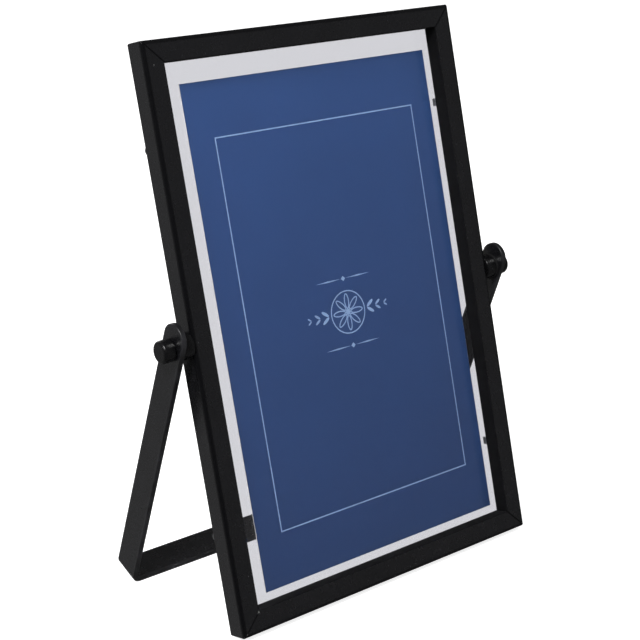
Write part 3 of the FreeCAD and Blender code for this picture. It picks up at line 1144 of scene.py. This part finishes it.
@dataclass
class PrintedCard:
    """The card between the panes, with its border line and a rosette between tapered rules.

    The card is a little thinner than the gap between the panes, and its fine lines are films of
    ink on it. The print lies off the card's middle by shift. Rim share is of the card's
    thickness, leaf start is counted in leaf pitches from the ring, leaf spread is of a leaf's
    length, and leaf rise is in degrees.
    """

    slack: float = 0.03
    rim_share: float = 1 / 6
    rim_steps: int = 2
    film: float = 0.012
    line: float = 0.4
    border_side: float = 9.4
    border_end: float = 17.85
    shift_right: float = 0.5
    shift_up: float = -0.25
    petals: int = 8
    petal_length: float = 5.4
    petal_width: float = 2.1
    hub: float = 1.0
    ring: float = 7.4
    leaf_pairs: int = 3
    leaf_length: float = 3.4
    leaf_width: float = 1.1
    leaf_pitch: float = 3.4
    leaf_start: float = 0.7
    leaf_spread: float = 1 / 3
    leaf_rise: float = 35.0
    rule_length: float = 22.0
    rule_width: float = 0.55
    rule_rise: float = 11.5
    diamond: float = 0.9

    def make(
        self, nodes: Nodes, space: OwnAxes, print_side: Finish, stock: Finish, ink: Finish
    ) -> list[Piece]:
        """Model the card and its printed lines, and dress them.

        Args:
            nodes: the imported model's objects by name.
            space: the frame's upright axes.
            print_side: the finish of the printed face.
            stock: the finish of the back and the cut edges.
            ink: the finish of the fine lines.

        Returns:
            The card, its border line and its ornament.
        """
        low, high = space.box(nodes["print_card"])
        slack = Vector((0, self.slack, 0))
        rim = (high.y - low.y) * self.rim_share
        card = slab("printed_card", low + slack, high - slack, rim, self.rim_steps)
        finish_faces(card, stock, print_side, faces_front)
        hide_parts("print_card")
        middle = (low + high) / 2
        middle += Vector((self.shift_right, low.y + self.slack - middle.y, self.shift_up))
        border = self.border(middle, high - low)
        ornament = self.ornament(middle)
        ink.dress(border, ornament)
        made = [card, border, ornament]
        for piece in made:
            space.settle(piece)
            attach(piece, "frame")
        return made

    def outline(self, shape: Piece) -> None:
        """Leave only a line along the rim of a flat shape.

        Args:
            shape: the flat shape.
        """
        with editing(shape):
            bpy.ops.mesh.select_all(action="SELECT")
            bpy.ops.mesh.inset(thickness=self.line * MM, depth=0)
            bpy.ops.mesh.delete(type="FACE")

    def flat(self, sides: Sides, width: float, height: float, fill: Fill = Fill.SOLID) -> Piece:
        """Draw a flat shape that lies about the origin.

        Args:
            sides: how many sides it has.
            width: its width.
            height: its height.
            fill: whether it is solid or only a line along its rim.

        Returns:
            The flat shape.
        """
        bpy.ops.object.select_all(action="DESELECT")
        bpy.ops.mesh.primitive_circle_add(vertices=sides, radius=0.5, fill_type="NGON")
        shape = bpy.context.active_object
        shape.scale = Vector((width, height, 1)) * MM
        bpy.ops.object.transform_apply(location=False, rotation=False, scale=True)
        if fill is Fill.LINE:
            self.outline(shape)
        return shape

    def repeated(self, shape: Piece, places: list[Place]) -> list[Piece]:
        """Stand copies of a flat shape up on the card, and take the shape itself away.

        Args:
            shape: a flat shape about the origin.
            places: each copy's middle on the upright axes, its turn in its plane in radians, and
                its size as a share of the shape's.

        Returns:
            The copies.
        """
        upright = Matrix.Rotation(math.pi / 2, 4, "X")
        made = []
        for middle, turn, size in places:
            inked = Matrix.Rotation(turn, 4, "Z") @ Matrix.Scale(size, 4)
            place = Matrix.Translation(middle * MM) @ upright @ inked
            made.append(copy_of(shape, "print_mark", place))
        bpy.data.objects.remove(shape)
        return made

    def inked(self, shapes: list[Piece], name: str) -> Piece:
        """Join flat shapes and turn them to one film of ink that stands proud of the card.

        Args:
            shapes: the flat shapes, in their places.
            name: the film's name.

        Returns:
            The film of ink.
        """
        film = join(shapes, name)
        bpy.ops.object.transform_apply(location=True, rotation=True, scale=True)
        modifier = film.modifiers.new("film", "SOLIDIFY")
        modifier.thickness = self.film * MM
        modifier.offset = 1
        bpy.ops.object.modifier_apply(modifier=modifier.name)
        return film

    def border(self, middle: Vector, size: Vector) -> Piece:
        """Draw the plain border line.

        Args:
            middle: its middle, on the card's face.
            size: the card's size.

        Returns:
            The border line.
        """
        bpy.ops.object.select_all(action="DESELECT")
        bpy.ops.mesh.primitive_plane_add(
            size=1, location=middle * MM, rotation=(math.pi / 2, 0, 0)
        )
        border = bpy.context.active_object
        inside = Vector((size.x - 2 * self.border_side, size.z - 2 * self.border_end, 1))
        border.scale = inside * MM
        bpy.ops.object.transform_apply(location=True, rotation=True, scale=True)
        self.outline(border)
        return self.inked([border], "print_border_line")

    def petals_about(self, middle: Vector) -> list[Place]:
        """Place the petals in a ring, each pointing outwards.

        Args:
            middle: the ring's middle.

        Returns:
            The places of the petals.
        """
        reach = self.hub + self.petal_length / 2
        turns = [index * math.tau / self.petals for index in range(self.petals)]
        return [
            (middle + Vector((-math.sin(turn), 0, math.cos(turn))) * reach, turn, 1.0)
            for turn in turns
        ]

    def leaves_beside(self, middle: Vector) -> list[Place]:
        """Place the leaves on both sides of the ring, smaller further out.

        Args:
            middle: the ring's middle.

        Returns:
            The places of the leaves.
        """
        places = []
        for side in (-1, 1):
            for index in range(self.leaf_pairs):
                size = 1 - index / (self.leaf_pairs + 1)
                along = side * (self.ring + self.leaf_pitch * (index + self.leaf_start))
                for tilt in (-1, 1):
                    turn = -side * (math.pi / 2 - tilt * math.radians(self.leaf_rise))
                    stem = Vector((along, 0, tilt * self.leaf_length * size * self.leaf_spread))
                    places.append((middle + stem, turn, size))
        return places

    def ornament(self, middle: Vector) -> Piece:
        """Draw the rosette in its ring, leaves beside it, and a rule above and below it.

        Args:
            middle: its middle, on the card's face.

        Returns:
            The ornament.
        """
        here = [(middle, 0.0, 1.0)]
        rises = [middle + Vector((0, 0, side * self.rule_rise)) for side in (-1, 1)]
        aside = Vector((self.rule_length / 4 + self.diamond, 0, 0))
        rules = [(rise + side * aside, 0.0, 1.0) for rise in rises for side in (-1, 1)]
        hub = self.flat(Sides.OVAL, 2 * self.hub, 2 * self.hub)
        ring = self.flat(Sides.RING, 2 * self.ring, 2 * self.ring, Fill.LINE)
        petal = self.flat(Sides.OVAL, self.petal_width, self.petal_length, Fill.LINE)
        leaf = self.flat(Sides.LEAF, self.leaf_width, self.leaf_length)
        rule = self.flat(Sides.DIAMOND, self.rule_length / 2, self.rule_width)
        diamond = self.flat(Sides.DIAMOND, 2 * self.diamond, 2 * self.diamond)
        shapes = [
            *self.repeated(hub, here),
            *self.repeated(ring, here),
            *self.repeated(petal, self.petals_about(middle)),
            *self.repeated(leaf, self.leaves_beside(middle)),
            *self.repeated(rule, rules),
            *self.repeated(diamond, [(rise, 0.0, 1.0) for rise in rises]),
        ]
        return self.inked(shapes, "print_ornament")


# Studio

class RayPaths(Sums):
    """How a ray came to the floor or the world: 0 or 1 for each path, and where it looks."""

    def __init__(self, tree: bpy.types.NodeTree) -> None:
        """Read the path of the rays in one node tree."""
        super().__init__(tree)
        self.path = add_node(tree, "ShaderNodeLightPath").outputs

    def camera(self) -> Socket:
        """Return 1 for rays straight from the camera."""
        return self.path["Is Camera Ray"]

    def through_panes(self) -> Socket:
        """Find the camera's rays that went through glass and nothing else.

        Returns:
            1 for such rays, and 0 for others.
        """
        turned = self.maths("SUBTRACT", self.path["Ray Depth"], self.path["Transmission Depth"])
        straight = self.maths("LESS_THAN", turned, NO_BOUNCE)
        return self.maths("MULTIPLY", straight, self.path["Is Transmission Ray"])

    def reflected(self) -> Socket:
        """Return 1 for rays that a shiny surface has turned back."""
        return self.maths("GREATER_THAN", self.path["Glossy Depth"], NO_BOUNCE)

    def towards(self, axis: Vector) -> Socket:
        """Compare the direction in which a ray sees the world with an axis.

        Args:
            axis: the axis, of any length.

        Returns:
            A value from -1, straight against the axis, to 1, straight along it.
        """
        seen = add_node(self.tree, "ShaderNodeTexCoord").outputs["Generated"]
        inputs = {0: seen, 1: axis.normalized()}
        made = add_node(self.tree, "ShaderNodeVectorMath", inputs, operation="DOT_PRODUCT")
        return made.outputs["Value"]


@dataclass(frozen=True)
class Softbox:
    """A square soft lamp that faces the object: where it hangs, its side and its power."""

    name: str
    towards: Vector
    side: float
    watts: float
    distance: float = 1000.0


@dataclass
class Studio:
    """A white floor, two softboxes, and the camera at the photograph's angle.

    In reflections the room is dim, darkest on the camera's side, with a pale reflector low down
    on the left, which keeps black coat and glass from turning grey. Camera turn is in degrees.
    Near end and far end compare where a reflection looks with where the camera does: -1 is
    straight back at it, and 1 is its own way. The reflector's rim and core compare it with the
    reflector's direction.
    """

    camera_place: tuple[float, float, float] = (-314.03, -382.63, 258.83)
    camera_turn: tuple[float, float, float] = (70.819, 0.173, -38.932)
    lens: float = 86.72
    sensor: float = 36.0
    clip_start: float = 10.0
    clip_end: float = 24000.0
    object_middle: float = 95.0
    floor_radius: float = 6000.0
    floor_sides: int = 96
    floor_paint: str = "#e9e9e9"
    floor_lift: float = 0.8
    through_glass: float = 0.88
    room_matt: float = 0.5
    room_near: float = 0.02
    room_far: float = 0.09
    near_end: float = -0.9
    far_end: float = -0.3
    reflector: Vector = Vector((-0.6, 0.75, -0.3))
    reflector_strength: float = 0.09
    reflector_rim: float = 0.5
    reflector_core: float = 0.95
    softboxes: tuple[Softbox, ...] = (
        Softbox("softbox_above_left", Vector((-0.6, -0.35, 0.75)), 200, 7.6),
        Softbox("softbox_behind", Vector((0.1, 0.92, 0.32)), 450, 2.3),
    )

    def heading(self) -> Vector:
        """Return the level direction in which the camera looks."""
        turn = math.radians(self.camera_turn[2])
        return Vector((-math.sin(turn), math.cos(turn), 0))

    def camera(self) -> None:
        """Set up the camera."""
        data = bpy.data.cameras.new("camera")
        data.lens = self.lens
        data.sensor_width = self.sensor
        data.clip_start = self.clip_start * MM
        data.clip_end = self.clip_end * MM
        camera = bpy.data.objects.new("camera", data)
        camera.location = Vector(self.camera_place) * MM
        camera.rotation_euler = [math.radians(turn) for turn in self.camera_turn]
        bpy.context.scene.collection.objects.link(camera)
        bpy.context.scene.camera = camera

    def floor(self) -> None:
        """Lay a round white floor under the object; reflections see the room in its place."""
        bpy.ops.object.select_all(action="DESELECT")
        bpy.ops.mesh.primitive_circle_add(
            vertices=self.floor_sides, radius=self.floor_radius * MM, fill_type="NGON"
        )
        floor = bpy.context.active_object
        floor.name = "floor"
        made = bpy.data.materials.new("white floor")
        made.use_nodes = True
        tree = made.node_tree
        tree.nodes.clear()
        paths = RayPaths(tree)
        lift = paths.maths("MULTIPLY", paths.camera(), self.floor_lift)
        paint, glow, beyond, clear = (
            add_node(tree, kind, inputs).outputs[0]
            for kind, inputs in (
                ("ShaderNodeBsdfDiffuse", {"Color": linear(self.floor_paint)}),
                ("ShaderNodeEmission", {"Strength": lift}),
                ("ShaderNodeEmission", {"Strength": self.through_glass}),
                ("ShaderNodeBsdfTransparent", {}),
            )
        )
        shown = add_node(tree, "ShaderNodeAddShader", {0: paint, 1: glow}).outputs["Shader"]
        shown = paths.mixed(paths.reflected(), shown, clear)
        shown = paths.mixed(paths.through_panes(), shown, beyond)
        output = add_node(tree, "ShaderNodeOutputMaterial")
        tree.links.new(shown, output.inputs["Surface"])
        floor.data.materials.append(made)

    def world(self) -> None:
        """Light the room: white for the camera, graded for gloss, and even for matt surfaces."""
        world = bpy.data.worlds.new("studio")
        world.use_nodes = True
        bpy.context.scene.world = world
        tree = world.node_tree
        tree.nodes.clear()
        paths = RayPaths(tree)
        along, aside = paths.towards(self.heading()), paths.towards(self.reflector)
        room = paths.maths(
            "ADD",
            paths.spread(along, self.room_near, self.room_far, self.near_end, self.far_end),
            paths.spread(
                aside, 0.0, self.reflector_strength, self.reflector_rim, self.reflector_core
            ),
        )
        strength: Socket | float = self.room_matt
        for share, seen in (
            (paths.reflected(), room),
            (paths.through_panes(), self.through_glass),
            (paths.camera(), 1.0),
        ):
            # A Mix node has its two plain numbers at inputs 2 and 3
            inputs = {"Factor": share, 2: strength, 3: seen}
            strength = add_node(tree, "ShaderNodeMix", inputs, data_type="FLOAT").outputs[0]
        light = {"Color": (1, 1, 1, 1), "Strength": strength}
        background = add_node(tree, "ShaderNodeBackground", light)
        output = add_node(tree, "ShaderNodeOutputWorld")
        tree.links.new(background.outputs["Background"], output.inputs["Surface"])

    def hang(self, softbox: Softbox) -> None:
        """Hang a softbox so that it faces the object's middle.

        Args:
            softbox: the softbox.
        """
        data = bpy.data.lights.new(softbox.name, "AREA")
        data.shape = "SQUARE"
        data.size = softbox.side * MM
        data.energy = softbox.watts
        lamp = bpy.data.objects.new(softbox.name, data)
        middle = Vector((0, 0, self.object_middle)) * MM
        lamp.location = middle + softbox.towards.normalized() * softbox.distance * MM
        lamp.rotation_euler = softbox.towards.to_track_quat("Z", "Y").to_euler()
        bpy.context.scene.collection.objects.link(lamp)

    def build(self) -> None:
        """Set up the whole studio."""
        self.camera()
        self.floor()
        self.world()
        for softbox in self.softboxes:
            self.hang(softbox)


# Putting it together

def dress_metalwork(nodes: Nodes, joints: list[dict[str, object]], space: OwnAxes) -> None:
    """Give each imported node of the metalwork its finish.

    Args:
        nodes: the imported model's objects by name.
        joints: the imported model's joints.
        space: the frame's upright axes.
    """
    outer = space.box(*(node for name, node in nodes.items() if name.endswith("_rail")))[1]
    left, right = space.box(nodes["left_rail"])
    swing = next(joint for joint in joints if joint["name"] == "stand_swing")
    pivot = Vector(swing["pos_m"])
    stand = OwnAxes.of_stand(nodes, pivot)
    strip = stand.box(nodes["easel_stand"])[1]
    turned = TurnedCoat("turned black coat", space, space.matrix().inverted() @ pivot / MM)
    zinc = ZincPlate("zinc-plated steel", space)
    nylon = MouldedNylon("black moulded nylon", space)
    for part, finish in {
        "rail": RailCoat("satin black powder coat", space, outer, face=right.x - left.x),
        "stand": StandCoat("satin black powder coat on strip", stand, strip),
        "thumb_screw": turned,
        "spacer": turned,
        "corner_key": nylon,
        "friction_washer": nylon,
        "turn_button": zinc,
        "rivets": zinc,
        "threaded_insert": TurnedBrass("turned brass", space),
    }.items():
        dressed = [name for name in nodes if part in name]
        finish.dress(*(nodes[name] for name in dressed))
        LOG.info("%s: %s", finish.name, ", ".join(dressed))


def main() -> None:
    """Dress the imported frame, add the panes and the card, and light them."""
    logging.basicConfig(level=logging.INFO, format="%(name)s: %(message)s")
    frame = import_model()
    nodes = frame["nodes"]
    space = OwnAxes.of_frame(nodes)
    LOG.info("the frame leans back by %.2f degrees", math.degrees(space.lean))
    dress_metalwork(nodes, frame["joints"], space)
    glass = FloatGlass("clear float glass", space)
    edge = GroundGlassEdge("ground glass edge", space)
    blue = PrintedBlue("dark blue offset print", space, space.box(nodes["print_card"])[1].z)
    stock = CardStock("white card stock", space)
    ink = PaleInk("pale blue ink", space)
    panes = Panes().make(nodes, space, glass, edge)
    printed = PrintedCard().make(nodes, space, blue, stock, ink)
    for piece in panes + printed:
        LOG.info("%s: %d faces", piece.name, len(piece.data.polygons))
    Studio().build()
    bpy.context.scene.view_settings.view_transform = "Standard"


if __name__ == "__main__":
    main()
